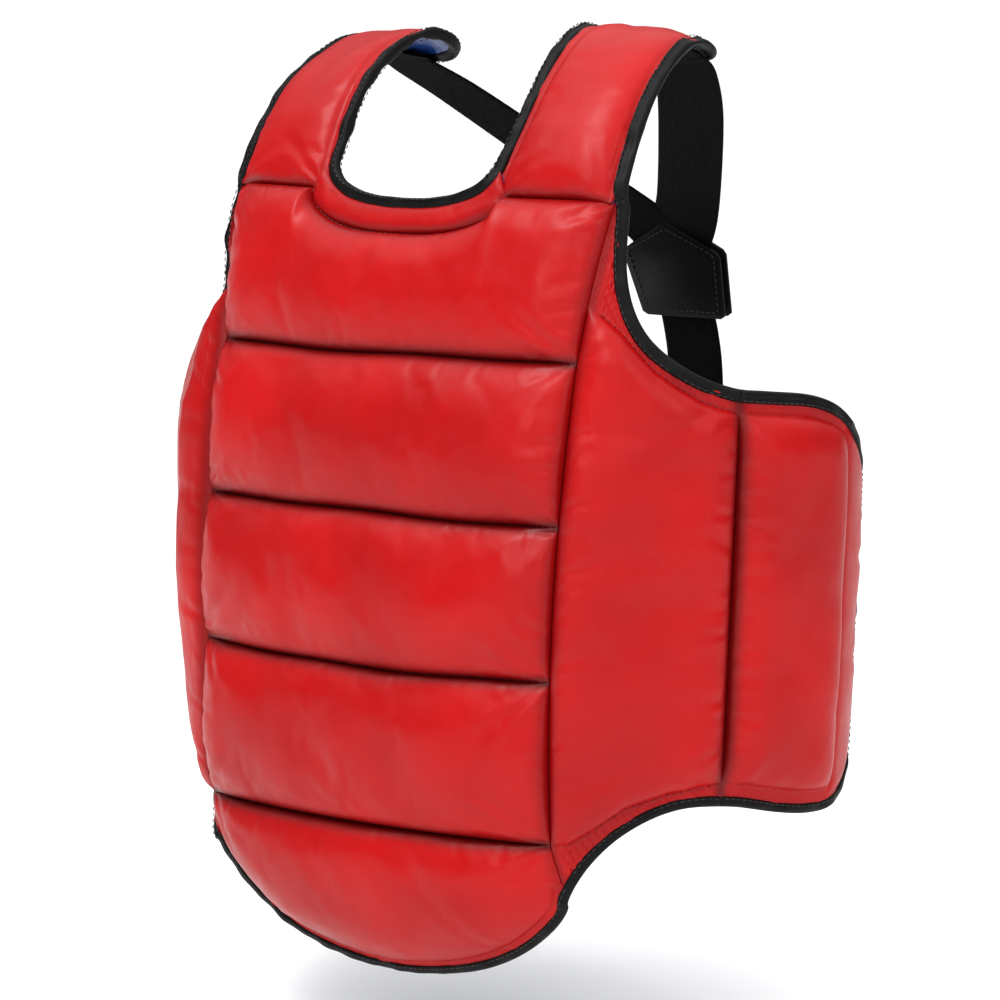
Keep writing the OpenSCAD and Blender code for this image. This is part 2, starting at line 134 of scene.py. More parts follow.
WARP_RUN = 78.0


def flat_wing(s, h):
    x, y, head = arc_path(WING_ARCS, s)
    return np.stack([x, y, h + 0 * x], -1) @ WING_TURN.T + WING_BASE, head


def first_run(h):
    """Where the wing starts, along its own run, at each height."""
    z = SEAMS[4] + h
    return (seam_x(z) - edge_x(z)) / 0.72


def wing_point(s, h):
    """A point of the left wing, warped so that its first edge lies on the front panel's side."""
    p, head = flat_wing(s, h)
    first = first_run(h + 0 * s)
    seam, _ = flat_wing(first, h + 0 * s)
    on_front, _ = front_surface(seam_x(seam[..., 2]), seam[..., 2])
    share = np.clip(1 - (s - first) / WARP_RUN, 0, 1.2)
    blend = share * share * (3 - 2 * np.clip(share, 0, 1))
    return p + (on_front - seam) * blend[..., None], head


def wing_surface(s, h):
    """The left wing: run round the body and height over the base, in its leaning frame."""
    s, h = np.broadcast_arrays(np.asarray(s, float), np.asarray(h, float))
    p, _ = wing_point(s, h)
    step = 0.5
    ds = wing_point(s + step, h)[0] - wing_point(s - step, h)[0]
    dh = wing_point(s, h + step)[0] - wing_point(s, h - step)[0]
    return p, unit(np.cross(ds, dh))


def shoulder(level, tilt):
    """A left shoulder: offset across the pad and run over it; its crest is lifted, and drops to the arm side."""
    c, si = math.cos(SHOULDER_TURN), math.sin(SHOULDER_TURN)
    turn = np.array([[c, -si, 0], [si, c, 0], [0, 0, 1]])

    def surface(w, s):
        y, z, head = arc_path(SHOULDER_ARCS, s)
        up = ease((s - 30) / 80)
        local = np.stack([w + 0 * y, y, z + (level - tilt * w / SHOULDER_HALF) * up], -1)
        n = unit(np.stack([tilt / SHOULDER_HALF * up * np.cos(head), -np.sin(head), np.cos(head)], -1))
        return local @ turn.T + SHOULDER_FOOT, n @ turn.T
    return surface


def mirrored(surface):
    def other(a, b):
        p, n = surface(a, b)
        return p * [-1, 1, 1], n * [-1, 1, 1]
    return other


left_shoulder = shoulder(1.8, 3.8)
right_shoulder = mirrored(shoulder(-3.3, 3.3))

# how far the right wing stands out past the left one's mirror image, by height over its base
OUT = np.array([(-40, -2), (20, -2), (64, 1.5), (103, 4), (141, 7.5), (199, 9), (245, 8.5), (272, 5), (290, 1),
                (305, -1.5), (325, 0), (347, 4.5), (368, 4.5), (385, 2)], float)


def right_wing(s, h):
    s, h = np.broadcast_arrays(np.asarray(s, float), np.asarray(h, float))
    p, n = wing_surface(s, h)
    fade = 1 - ease((s - WIDE_LEN) / NARROW_LEN)
    start = np.maximum(np.clip((s - first_run(h) + 1) / 24, 0, 1), np.clip((h - 325) / 15, 0, 1))
    out = np.interp(h, OUT[:, 0], OUT[:, 1]) * fade * start
    return (p + n * out[..., None]) * [-1, 1, 1], n * [-1, 1, 1]


SIDES = (("left", 1), ("right", -1))
WINGS = {"left": wing_surface, "right": right_wing}
SHOULDERS = {"left": left_shoulder, "right": right_shoulder}


# ---------------------------------------------------------------- meshes
def finish_mesh(name, verts, faces, material, sharp=None):
    mesh = bpy.data.meshes.new(name)
    mesh.from_pydata((np.asarray(verts) * MM).tolist(), [], faces)
    mesh.update()
    mesh.polygons.foreach_set("use_smooth", [True] * len(mesh.polygons))
    if sharp is not None:
        ends = np.empty(len(mesh.edges) * 2, int)
        mesh.edges.foreach_get("vertices", ends)
        ends = ends.reshape(-1, 2)
        attribute = mesh.attributes.new("sharp_edge", "BOOLEAN", "EDGE")
        attribute.data.foreach_set("value", sharp[ends[:, 0]] & sharp[ends[:, 1]])
    obj = bpy.data.objects.new(name, mesh)
    bpy.context.scene.collection.objects.link(obj)
    mesh.materials.append(material)
    return obj


def place(obj, body):
    """Moves with one body, or, for a joint between two, is baked in place and moves with neither."""
    if isinstance(body, str):
        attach(obj, body)
    else:
        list(body)
        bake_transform(obj)


def turn_outward(obj):
    bm = bmesh.new()
    bm.from_mesh(obj.data)
    bmesh.ops.recalc_face_normals(bm, faces=bm.faces)
    bm.to_mesh(obj.data)
    bm.free()


def tube_faces(count, sides, base=0):
    """Faces of a tube of count + 1 rings, closed at both ends."""
    faces = []
    for i in range(count):
        for j in range(sides):
            a, b = base + i * sides + j, base + i * sides + (j + 1) % sides
            faces.append([a, b, b + sides, a + sides])
    first = list(range(base, base + sides))
    return faces + [first[::-1], [k + count * sides for k in first]]


def grid_faces(rows_n, cols_n, offset=0, flip=False):
    i, j = np.meshgrid(np.arange(rows_n - 1), np.arange(cols_n - 1), indexing="ij")
    a = (i * cols_n + j + offset).ravel()
    quad = np.stack([a, a + 1, a + cols_n + 1, a + cols_n], -1)
    return quad[:, ::-1] if flip else quad


def border_loop(rows_n, cols_n):
    top = [(0, j) for j in range(cols_n)]
    right = [(i, cols_n - 1) for i in range(1, rows_n)]
    bottom = [(rows_n - 1, j) for j in range(cols_n - 2, -1, -1)]
    left = [(i, 0) for i in range(rows_n - 2, 0, -1)]
    return [i * cols_n + j for i, j in top + right + bottom + left]


def half_pad(name, skin, core, material, inward):
    """A closed crowned half: its skin, a rim wall, and a plain face on the seam's own surface."""
    r, c = skin.shape[:2]
    n = r * c
    verts = np.concatenate([skin.reshape(-1, 3), core.reshape(-1, 3)])
    faces = np.concatenate([grid_faces(r, c, 0, inward), grid_faces(r, c, n, not inward)]).tolist()
    loop = border_loop(r, c)
    for a, b in zip(loop, loop[1:] + loop[:1]):
        quad = [a, b, b + n, a + n]
        faces.append(quad if inward else quad[::-1])
    sharp = np.zeros(2 * n, bool)
    sharp[loop] = True
    sharp[[k + n for k in loop]] = True
    return finish_mesh(name, verts, faces, material, sharp)


def spaced(count, edge=0.55):
    """Values from 0 to 1, closer together near the ends."""
    t = np.linspace(0, 1, count)
    return (1 - edge) * t + edge * (0.5 - 0.5 * np.cos(np.pi * t))


def coons(bottom, top, left, right, nu, nv):
    """A patch between four border curves: each is a function from 0..1 to (a, b)."""
    u, v = spaced(nu), spaced(nv)
    b, t = np.array([bottom(x) for x in u]), np.array([top(x) for x in u])
    le, ri = np.array([left(x) for x in v]), np.array([right(x) for x in v])
    uu, vv = u[None, :, None], v[:, None, None]
    lin = (1 - vv) * b[None] + vv * t[None] + (1 - uu) * le[:, None] + uu * ri[:, None]
    bil = (1 - uu) * (1 - vv) * b[0] + uu * (1 - vv) * b[-1] + (1 - uu) * vv * t[0] + uu * vv * t[-1]
    return lin - bil


def swell(d, r):
    t = np.clip(d / r, 0, 1)
    return np.sqrt(np.maximum(0, 1 - (1 - t) ** 2))


def border_distances(ab):
    """Distance in mm from each grid point to the four borders, along the grid lines."""
    du = np.linalg.norm(np.diff(ab, axis=1), axis=-1)
    dv = np.linalg.norm(np.diff(ab, axis=0), axis=-1)
    along_u = np.concatenate([np.zeros((ab.shape[0], 1)), np.cumsum(du, 1)], 1)
    along_v = np.concatenate([np.zeros((1, ab.shape[1])), np.cumsum(dv, 0)], 0)
    return along_u, along_u[:, -1:] - along_u, along_v, along_v[-1:] - along_v


def crease(ab, start, end, width, depth):
    d = end - start
    rel = ab - start
    t = np.clip((rel @ d) / (d @ d), 0, 1)
    away = np.linalg.norm(rel - t[..., None] * d, axis=-1)
    w = width * (0.7 + 0.9 * t)
    fade = (1 - t) ** 0.8
    return depth * fade * (0.4 * np.exp(-(((away - 1.9 * w) / w) ** 2)) - np.exp(-((away / w) ** 2)))


def seam_creases(ab, rng, side, spacing, reach, depth, width=2.2):
    """Puckers that start at one border and die out inside the pad."""
    line = {"low": ab[0], "high": ab[-1], "left": ab[:, 0], "right": ab[:, -1]}[side]
    inside = {"low": ab[1] - ab[0], "high": ab[-2] - ab[-1],
              "left": ab[:, 1] - ab[:, 0], "right": ab[:, -2] - ab[:, -1]}[side]
    along = run_along(line)
    total = np.zeros(ab.shape[:2])
    pos = spacing * rng.uniform(0.3, 1.0)
    while pos < along[-1] - 2:
        k = int(np.searchsorted(along, pos))
        k = min(max(k, 1), len(line) - 2)
        way = turned(unit(inside[k]), rng.normal(0, 0.22))
        length = reach * rng.uniform(0.45, 1.5)
        total += crease(ab, line[k], line[k] + way * length, width * rng.uniform(0.7, 1.4),
                        depth * rng.uniform(0.35, 1.25))
        pos += spacing * rng.uniform(0.55, 1.6)
    return total


def corner_folds(ab, rng, reach, depth):
    centre = ab[ab.shape[0] // 2, ab.shape[1] // 2]
    total = np.zeros(ab.shape[:2])
    for corner in (ab[0, 0], ab[0, -1], ab[-1, 0], ab[-1, -1]):
        base = unit(centre - corner)
        for turn in (-0.42, -0.05, 0.4):
            way = turned(base, turn + rng.normal(0, 0.1))
            length = reach * rng.uniform(0.5, 1.15)
            total += crease(ab, corner + way * 3, corner + way * length, rng.uniform(2.8, 4.6),
                            depth * rng.uniform(0.5, 1.1))
    return total


def waviness(ab, rng, size, amount):
    total = np.zeros(ab.shape[:2])
    for _ in range(7):
        way = rng.uniform(0, math.pi)
        wave = size * rng.uniform(0.6, 1.6)
        phase = rng.uniform(0, 2 * math.pi)
        total += np.sin((ab[..., 0] * math.cos(way) + ab[..., 1] * math.sin(way)) * 2 * math.pi / wave + phase)
    return amount * total / 2.6


def drape(ab, seed, amount=1.0, long_folds=3):
    """Every wrinkle of one pad, as a change of height in mm."""
    rng = np.random.default_rng(seed)
    total = waviness(ab, rng, 70, 0.6) + waviness(ab, rng, 28, 0.1)
    for side in ("low", "high"):
        total += seam_creases(ab, rng, side, 24, 13, 0.75 * amount)
    for side in ("left", "right"):
        total += seam_creases(ab, rng, side, 17, 20, 1.1 * amount, 2.8)
    total += corner_folds(ab, rng, 58, 1.7 * amount)
    lo, hi = ab.reshape(-1, 2).min(0), ab.reshape(-1, 2).max(0)
    for _ in range(long_folds):
        mid = rng.uniform(lo + 0.2 * (hi - lo), hi - 0.2 * (hi - lo))
        turn = rng.normal(0, 0.5) + (math.pi / 2 if rng.random() < 0.5 else 0)
        way = np.array([math.cos(turn), math.sin(turn)]) * rng.uniform(16, 38)
        total += crease(ab, mid, mid + way, rng.uniform(5, 9), rng.uniform(0.2, 0.5) * amount)
    return total


CLOTH_FRAMES = 20
CLOTH_STEP = 4.5
MARGIN_PROUD = 0.45


def resample(field, rows_n, cols_n):
    """A coarse grid of values spread over a finer one."""
    r, c = np.linspace(0, 1, field.shape[0]), np.linspace(0, 1, field.shape[1])
    fine_r, fine_c = np.linspace(0, 1, rows_n), np.linspace(0, 1, cols_n)
    across = np.stack([[np.interp(fine_c, c, row[:, k]) for k in range(3)] for row in field])
    down = [[np.interp(fine_r, r, across[:, k, j]) for k in range(3)] for j in range(cols_n)]
    return np.stack(down).transpose(2, 0, 1)


def settle(skin, inward, cap, hold):
    """Blows one leather skin up as cloth, held along its seams; its folds are scaled so none passes the cap."""
    tall = np.linalg.norm(np.diff(skin[:, skin.shape[1] // 2], axis=0), axis=1).sum()
    wide = np.linalg.norm(np.diff(skin[skin.shape[0] // 2], axis=0), axis=1).sum()
    nr, nc = max(8, int(tall / CLOTH_STEP)), max(8, int(wide / CLOTH_STEP))
    pick_r = np.linspace(0, skin.shape[0] - 1, nr).round().astype(int)
    pick_c = np.linspace(0, skin.shape[1] - 1, nc).round().astype(int)
    start = skin[np.ix_(pick_r, pick_c)]
    mesh = bpy.data.meshes.new("cloth")
    mesh.from_pydata((start.reshape(-1, 3) * MM).tolist(), [], grid_faces(nr, nc, 0, inward).tolist())
    mesh.update()
    obj = bpy.data.objects.new("cloth", mesh)
    bpy.context.scene.collection.objects.link(obj)
    held = obj.vertex_groups.new(name="held")
    held.add(border_loop(nr, nc), 1.0, "REPLACE")
    modifier = obj.modifiers.new("cloth", "CLOTH")
    cloth = modifier.settings
    cloth.quality, cloth.mass, cloth.air_damping = 5, 0.3, 3.0
    cloth.tension_stiffness = cloth.compression_stiffness = 25
    cloth.shear_stiffness, cloth.bending_stiffness = 8, 0.6
    cloth.use_pressure, cloth.uniform_pressure_force = True, 4.0
    cloth.shrink_min = -0.05
    cloth.vertex_group_mass = "held"
    cloth.effector_weights.gravity = 0.0
    modifier.collision_settings.use_collision = False
    modifier.collision_settings.use_self_collision = False
    modifier.point_cache.frame_start, modifier.point_cache.frame_end = 1, CLOTH_FRAMES
    for frame_n in range(1, CLOTH_FRAMES + 1):
        bpy.context.scene.frame_set(frame_n)
    done = obj.evaluated_get(bpy.context.evaluated_depsgraph_get())
    settled = np.empty(len(mesh.vertices) * 3)
    done.data.vertices.foreach_get("co", settled)
    bpy.data.objects.remove(obj)
    bpy.data.meshes.remove(mesh)
    bpy.context.scene.frame_set(1)
    move = settled.reshape(nr, nc, 3) / MM - start
    move *= min(1.0, cap / max(float(np.linalg.norm(move, axis=-1).max()), 1e-9))
    return skin + resample(move, *skin.shape[:2]) * hold[..., None]


def pad(name, surface, ab, crowns, radii, body, seed, amount=1.0, layers=None, mask=None, extra=None,
        painted_seam_shade=(0.4, 0.4, 1.0, 1.0), puff=0.0):
    """Two closed halves of one foam channel: red outside, blue inside.

    layers names the cover and lining it is part of, where they aren't its own."""
    left, right, low, high = border_distances(ab)
    rl, rr, rb, rt = radii
    shape = swell(left, rl) * swell(right, rr) * swell(low, rb) * swell(high, rt)
    if mask is not None:
        shape = mask(ab)
    wrinkle = drape(ab, seed, amount)
    edge = np.minimum.reduce([left, right, low, high])
    start = np.clip(edge / 3, 0, 1)
    front = crowns[0] * shape + wrinkle * start * (0.3 + 0.7 * np.clip(shape * 1.6, 0, 1))
    back = crowns[1] * shape + 0.6 * drape(ab, seed + 500, amount, 1) * start * np.clip(shape * 1.6, 0.2, 1)
    # on the flat margins the leather stays under the binding
    most = MARGIN_PROUD + 40 * shape
    front, back = np.minimum(front, most), np.minimum(back, most)
    if extra is not None:
        clear = np.clip((edge - 4.5) / 3, 0, 1)
        front, back = front + extra(ab) * clear, back + extra(ab) * clear
    p, n = surface(ab[..., 0], ab[..., 1])
    skin = p + n * (RIM + np.maximum(front, -0.5))[..., None]
    inner = p - n * (RIM + np.maximum(back, -0.5))[..., None]
    handed = np.cross(p[1, 0] - p[0, 0], p[0, 1] - p[0, 0]) @ n[0, 0] > 0
    if puff:
        skin = settle(skin, bool(handed), puff, np.clip(edge / 10, 0, 1) * np.clip(shape * 1.4, 0, 1))
    red = half_pad(name + "_cover", skin, p, RED, bool(handed))
    blue = half_pad(name + "_lining", inner, p, BLUE, not handed)
    # painted seam shade: weights that darken the leather near each border, standing in for the shade in the grooves;
    # the core face gets a flat half weight
    painted_shade = np.maximum.reduce([g * np.exp(-(d / 4.2) ** 2) for g, d in zip(painted_seam_shade, (left, right, low, high))])
    painted_shade_weights = np.concatenate([painted_shade.ravel(), np.full(edge.size, 0.5)])
    layers = layers or name
    for obj, nodes in ((red, (layers + "_cover", name + "_foam")), (blue, (layers + "_lining",))):
        obj.data.attributes.new("painted_seam_shade", "FLOAT", "POINT").data.foreach_set("value", painted_shade_weights.astype(np.float32))
        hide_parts(*nodes)
        place(obj, body)


# ---------------------------------------------------------------- materials
def rgb(r, g, b):
    def lin(c):
        c = c / 255
        return c / 12.92 if c <= 0.04045 else ((c + 0.055) / 1.055) ** 2.4
    return (lin(r), lin(g), lin(b), 1)


def new_material(name):
    mat = bpy.data.materials.new(name)
    mat.use_nodes = True
    tree = mat.node_tree
    return mat, tree.nodes, tree.links, tree.nodes["Principled BSDF"]


def noise(nodes, links, coords, scale, detail=4, rough=0.55):
    n = nodes.new("ShaderNodeTexNoise")
    n.inputs["Scale"].default_value = scale
    n.inputs["Detail"].default_value = detail
    n.inputs["Roughness"].default_value = rough
    links.new(coords, n.inputs["Vector"])
    return n.outputs["Fac"]


def mix_colour(nodes, links, fac, a, b):
    m = nodes.new("ShaderNodeMix")
    m.data_type = "RGBA"
    links.new(fac, m.inputs["Factor"])
    for socket, value in ((m.inputs[6], a), (m.inputs[7], b)):
        if isinstance(value, tuple):
            socket.default_value = value
        else:
            links.new(value, socket)
    return m.outputs[2]


def remap(nodes, links, value, low, high, out_low, out_high):
    m = nodes.new("ShaderNodeMapRange")
    for key, v in (("From Min", low), ("From Max", high), ("To Min", out_low), ("To Max", out_high)):
        m.inputs[key].default_value = v
    links.new(value, m.inputs["Value"])
    return m.outputs["Result"]


def bumps(nodes, links, shader, layers):
    """Stacks bump layers: (height socket, strength, distance in metres)."""
    previous = None
    for height, strength, distance in layers:
        b = nodes.new("ShaderNodeBump")
        b.inputs["Strength"].default_value = strength
        b.inputs["Distance"].default_value = distance
        links.new(height, b.inputs["Height"])
        if previous:
            links.new(previous, b.inputs["Normal"])
        previous = b.outputs["Normal"]
    links.new(previous, shader.inputs["Normal"])


def leather(name, colour, dark, worn, roughness, grain=0.25, coat=0.0, gloss=0.5):
    mat, nodes, links, shader = new_material(name)
    coords = nodes.new("ShaderNodeTexCoord").outputs["Object"]
    cells = nodes.new("ShaderNodeTexVoronoi")
    cells.feature = "DISTANCE_TO_EDGE"
    cells.inputs["Scale"].default_value = 900
    links.new(coords, cells.inputs["Vector"])
    pebble = remap(nodes, links, cells.outputs["Distance"], 0, 0.35, 0, 1)
    broad = noise(nodes, links, coords, 9, 3)
    fine = noise(nodes, links, coords, 260, 5, 0.65)
    tone = mix_colour(nodes, links, remap(nodes, links, broad, 0.35, 0.68, 0, 1), dark, colour)
    edge = nodes.new("ShaderNodeNewGeometry").outputs["Pointiness"]
    wear = remap(nodes, links, edge, 0.52, 0.62, 0, 0.35)
    tone = mix_colour(nodes, links, wear, tone, worn)
    # painted shade: where the seam-shade weights are high, the base colour is mixed towards a near-black copy of the
    # dark tone, for the shadow in the seams
    seam = nodes.new("ShaderNodeAttribute")
    seam.attribute_name = "painted_seam_shade"
    painted_shade = tuple(c * 0.12 for c in dark[:3]) + (1,)
    links.new(mix_colour(nodes, links, remap(nodes, links, seam.outputs["Fac"], 0, 1, 0, 0.92), tone, painted_shade),
              shader.inputs["Base Color"])
    links.new(remap(nodes, links, noise(nodes, links, coords, 40, 4), 0.3, 0.7, roughness - 0.06, roughness + 0.07),
              shader.inputs["Roughness"])
    shader.inputs["Specular IOR Level"].default_value = gloss
    shader.inputs["Coat Weight"].default_value = coat
    shader.inputs["Coat Roughness"].default_value = 0.3
    bumps(nodes, links, shader, [(pebble, grain, 0.00012), (fine, 0.25, 0.0003),
                                 (noise(nodes, links, coords, 55, 3), 0.35, 0.0009)])
    return mat


def webbing(name, colour, light):
    """Ribbed elastic: fine ribs run along the strap and picks cross them."""
    mat, nodes, links, shader = new_material(name)
    coords = nodes.new("ShaderNodeUVMap")
    coords.uv_map = "weave"
    split = nodes.new("ShaderNodeSeparateXYZ")
    links.new(coords.outputs["UV"], split.inputs["Vector"])

    def wave(value, pitch):
        m = nodes.new("ShaderNodeMath")
        m.operation = "MULTIPLY"
        m.inputs[1].default_value = 2 * math.pi / pitch
        links.new(value, m.inputs[0])
        s = nodes.new("ShaderNodeMath")
        s.operation = "SINE"
        links.new(m.outputs[0], s.inputs[0])
        return remap(nodes, links, s.outputs[0], -1, 1, 0, 1)

    ribs, picks = wave(split.outputs["X"], 0.0017), wave(split.outputs["Y"], 0.0011)
    both = nodes.new("ShaderNodeMath")
    both.operation = "MULTIPLY_ADD"
    links.new(picks, both.inputs[0])
    both.inputs[1].default_value = 0.45
    links.new(ribs, both.inputs[2])
    fuzz = noise(nodes, links, nodes.new("ShaderNodeTexCoord").outputs["Object"], 700, 4, 0.7)
    links.new(mix_colour(nodes, links, remap(nodes, links, both.outputs[0], 0.2, 1.4, 0, 0.8), colour, light),
              shader.inputs["Base Color"])
    shader.inputs["Roughness"].default_value = 0.85
    shader.inputs["Specular IOR Level"].default_value = 0.04
    shader.inputs["Sheen Weight"].default_value = 0.02
    shader.inputs["Sheen Roughness"].default_value = 0.5
    bumps(nodes, links, shader, [(both.outputs[0], 0.7, 0.0004), (fuzz, 0.3, 0.0002)])
    return mat


def plain_thread(name, colour):
    mat, nodes, links, shader = new_material(name)
    coords = nodes.new("ShaderNodeTexCoord").outputs["Object"]
    twist = noise(nodes, links, coords, 2600, 2)
    links.new(mix_colour(nodes, links, twist, colour, tuple(min(1, c * 1.7) for c in colour[:3]) + (1,)),
              shader.inputs["Base Color"])
    shader.inputs["Roughness"].default_value = 0.6
    bumps(nodes, links, shader, [(twist, 0.5, 0.0002)])
    return mat


def fuzzy_tape(name, colour, light):
    mat, nodes, links, shader = new_material(name)
    coords = nodes.new("ShaderNodeTexCoord").outputs["Object"]
    fuzz = noise(nodes, links, coords, 1500, 5, 0.75)
    links.new(mix_colour(nodes, links, remap(nodes, links, fuzz, 0.35, 0.7, 0, 1), colour, light),
              shader.inputs["Base Color"])
    shader.inputs["Roughness"].default_value = 0.95
    shader.inputs["Sheen Weight"].default_value = 0.12
    bumps(nodes, links, shader, [(fuzz, 1.0, 0.0008)])
    return mat


RED = leather("red_leather", rgb(172, 10, 12), rgb(152, 7, 10), rgb(190, 26, 28), 0.37, coat=0.02, gloss=0.17)
BLUE = leather("blue_leather", rgb(24, 66, 138), rgb(18, 52, 118), rgb(60, 100, 165), 0.34, coat=0.15)
BLACK = leather("black_tape", rgb(4, 3, 4), rgb(2, 2, 2), rgb(18, 15, 16), 0.5, grain=0.3, gloss=0.14)
PATCH = leather("black_patch_leather", rgb(4, 4, 4), rgb(2, 2, 2), rgb(40, 32, 28), 0.5, gloss=0.1, grain=0.5)
WEB = webbing("black_elastic", rgb(2, 2, 2), rgb(8, 8, 9))
THREAD = plain_thread("dark_thread", rgb(30, 20, 22))
RED_THREAD = plain_thread("red_thread", rgb(120, 16, 22))
PALE_THREAD = plain_thread("pale_thread", rgb(150, 110, 108))
LOOP = fuzzy_tape("loop_tape", rgb(14, 14, 15), rgb(40, 40, 42))
HOOK = fuzzy_tape("hook_tape", rgb(18, 18, 18), rgb(36, 36, 38))


# ---------------------------------------------------------------- outlines
def polyline(points):
    """A function from 0..1 to a point at that share of the line's length."""
    pts = np.asarray(points, float)
    along = run_along(pts)

    def at(t):
        return np.array([np.interp(t * along[-1], along, pts[:, k]) for k in range(pts.shape[1])])
    return at


def smooth_line(points, count=60):
    """A Catmull-Rom line through the points."""
    pts = np.asarray(points, float)
    pts = np.concatenate([[2 * pts[0] - pts[1]], pts, [2 * pts[-1] - pts[-2]]])
    out = []
    spans = len(pts) - 3
    for t in np.linspace(0, spans - 1e-6, count):
        i, f = int(t), t - int(t)
        a, b, c, d = pts[i:i + 4]
        out.append(0.5 * (2 * b + (c - a) * f + (2 * a - 5 * b + 4 * c - d) * f * f
                          + (3 * b - a - 3 * c + d) * f ** 3))
    return np.array(out)


CHEST_TOP = -93.4
COLLAR_SIDE = [(79, -93.4), (74, -103), (62, -110), (45, -115), (25, -117.5)]
COLLAR = smooth_line([(-x, z) for x, z in COLLAR_SIDE] + [(0, -118)] + COLLAR_SIDE[::-1])
NECK_SIDE = [(72, -66), (70.5, -76), (65.5, -85.5), (55.5, -93.5), (38, -99), (20, -101.5)]
NECK = smooth_line([(-x, z) for x, z in NECK_SIDE] + [(0, -102)] + NECK_SIDE[::-1])[6:-6]
WIDE_TOP = smooth_line([(14.6, 385), (15.2, 374), (16.6, 361), (19.6, 345), (26.5, 327.5), (37, 312.3), (50, 300.8),
                        (68, 290), (85, 282), (104, 277)])
WIDE_LOW = smooth_line([(6.5, -39), (15, -23), (25, -9), (40, 5.5), (61, 18.5), (82, 25.5), (104, 27)])
SIDE_TOP = smooth_line([(104, 277), (120, 276.3), (134, 275.4), (150, 274.4), (165, 272), (181, 267), (198, 256.5),
                        (213, 243), (227, 224), (236, 201), (240, 176)])
SIDE_LOW = smooth_line([(104, 27), (120, 25.5), (143, 21.5), (167, 18.5), (184, 18.5), (196, 20.5), (205, 24),
                        (216, 32), (227, 46), (235, 65), (239, 86), (240, 104)])
WIDE_TOP_SEAM = np.array([(-3, 325), (8, 319), (25, 308), (50, 287), (80, 270.5), (92, 266.5), (104, 264)])
WIDE_LOW_SEAM = np.array([(-3, -1), (10, 1), (22, 8), (45, 24), (70, 33), (95, 38.5), (104, 40)])
MOON_EDGE = [(0, -576.5), (28, -575), (60, -569.5), (86, -561), (107, -550.5), (123, -539.5), (136, -528),
             (145, -516)]
MOON_RIGHT = [(28, -575), (59, -569.3), (83.5, -560), (102, -549), (117, -537.5), (130, -524), (141, -508)]
MOON = smooth_line([(-x, z) for x, z in MOON_RIGHT[::-1]] + MOON_EDGE)
WIDE_LOW_RIGHT = smooth_line([(4, -34), (13, -21), (24, -8.5), (40, 5.5), (61, 18.5), (82, 25.5), (104, 27)])


def seam_wave(x, i):
    """The seams between channels wander a little."""
    return 0.8 * math.sin(x / 47 + i * 2.1) + 0.4 * math.sin(x / 19 + i * 1.3)


# ---------------------------------------------------------------- front panel pads
def front_cell(i):
    """Border curves of channel i, in front-view x and z."""
    low_z, high_z = SEAMS[i + 1], SEAMS[i]
    last = i == len(SEAMS) - 2

    def low(t):
        x = (2 * t - 1) * seam_x(low_z)
        return np.array([x, low_z + (0 if last else seam_wave(x, i))])

    def high(t):
        x = (2 * t - 1) * seam_x(high_z)
        return np.array([x, high_z + seam_wave(x, i - 1)])

    def side(sign):
        def at(t):
            z = low_z + (high_z - low_z) * t
            x = sign * seam_x(z)
            return np.array([x, z + seam_wave(x, i - 1) * t + (0 if last else seam_wave(x, i)) * (1 - t)])
        return at
    return low, high, side(-1), side(1)


ABDOMEN_BLEND = ("front", "abdomen", (0, -0.137, -0.479), (0, -0.137, -0.548))


def wing_blend(side, sign):
    """From the front panel to the wing, across a strip beside the hinge."""
    start, run, slope = (sign * 0.138, -0.131, -0.479), 0.036, 0.0403
    return ("front", side + "_wing", start, (start[0] + sign * run, start[1], start[2] - run * slope))


def side_blend(side, sign):
    """From the wide pad to the narrow one, across a strip beside their seam."""
    start, run = (sign * 0.2061, -0.05265, -0.48365), 0.026
    return (side + "_wing", side + "_side", start, (start[0], start[1] + run, start[2] - run * LEAN_Y))


def front_pads():
    names = ["chest", "upper_rib", "middle_rib", "lower_rib"]
    for i in range(1, 4):
        ab = coons(*front_cell(i), 170, 66)
        pad(names[i], front_surface, ab, (16.0, 7.5), (31, 31, 47, 47), "front", 10 + i, puff=1.7, layers="front")
    low = front_cell(0)[0]
    half, collar_half = 150.5, COLLAR_SIDE[0][0]
    collar_run = polyline(COLLAR)

    def high(t):
        share = (half - collar_half) / (2 * half)
        if t < share:
            return np.array([-half + (half - collar_half) * t / share, CHEST_TOP])
        if t > 1 - share:
            return np.array([collar_half + (half - collar_half) * (t - 1 + share) / share, CHEST_TOP])
        return collar_run((t - share) / (1 - 2 * share))

    def side(sign):
        low_z = SEAMS[1]
        return polyline([(sign * seam_x(z), z + seam_wave(sign * seam_x(low_z), 0) * max(0, (low_z + 40 - z) / 40))
                         for z in np.linspace(low_z, CHEST_TOP, 30)])
    ab = coons(low, high, side(-1), side(1), 180, 66)
    pad("chest", front_surface, ab, (15.5, 7.5), (31, 31, 46, 24), "front", 10, puff=1.7, painted_seam_shade=(0.4, 0.4, 1.0, 0.5),
        layers="front")
    ab = coons(collar_run, polyline(NECK), polyline([COLLAR[0], NECK[0]]), polyline([COLLAR[-1], NECK[-1]]), 190, 14)
    pad("collar", front_surface, ab, (3.6, 2.2), (10, 10, 8, 10), "front", 15, 0.45, painted_seam_shade=(0, 0, 0.6, 0.2),
        layers="front")


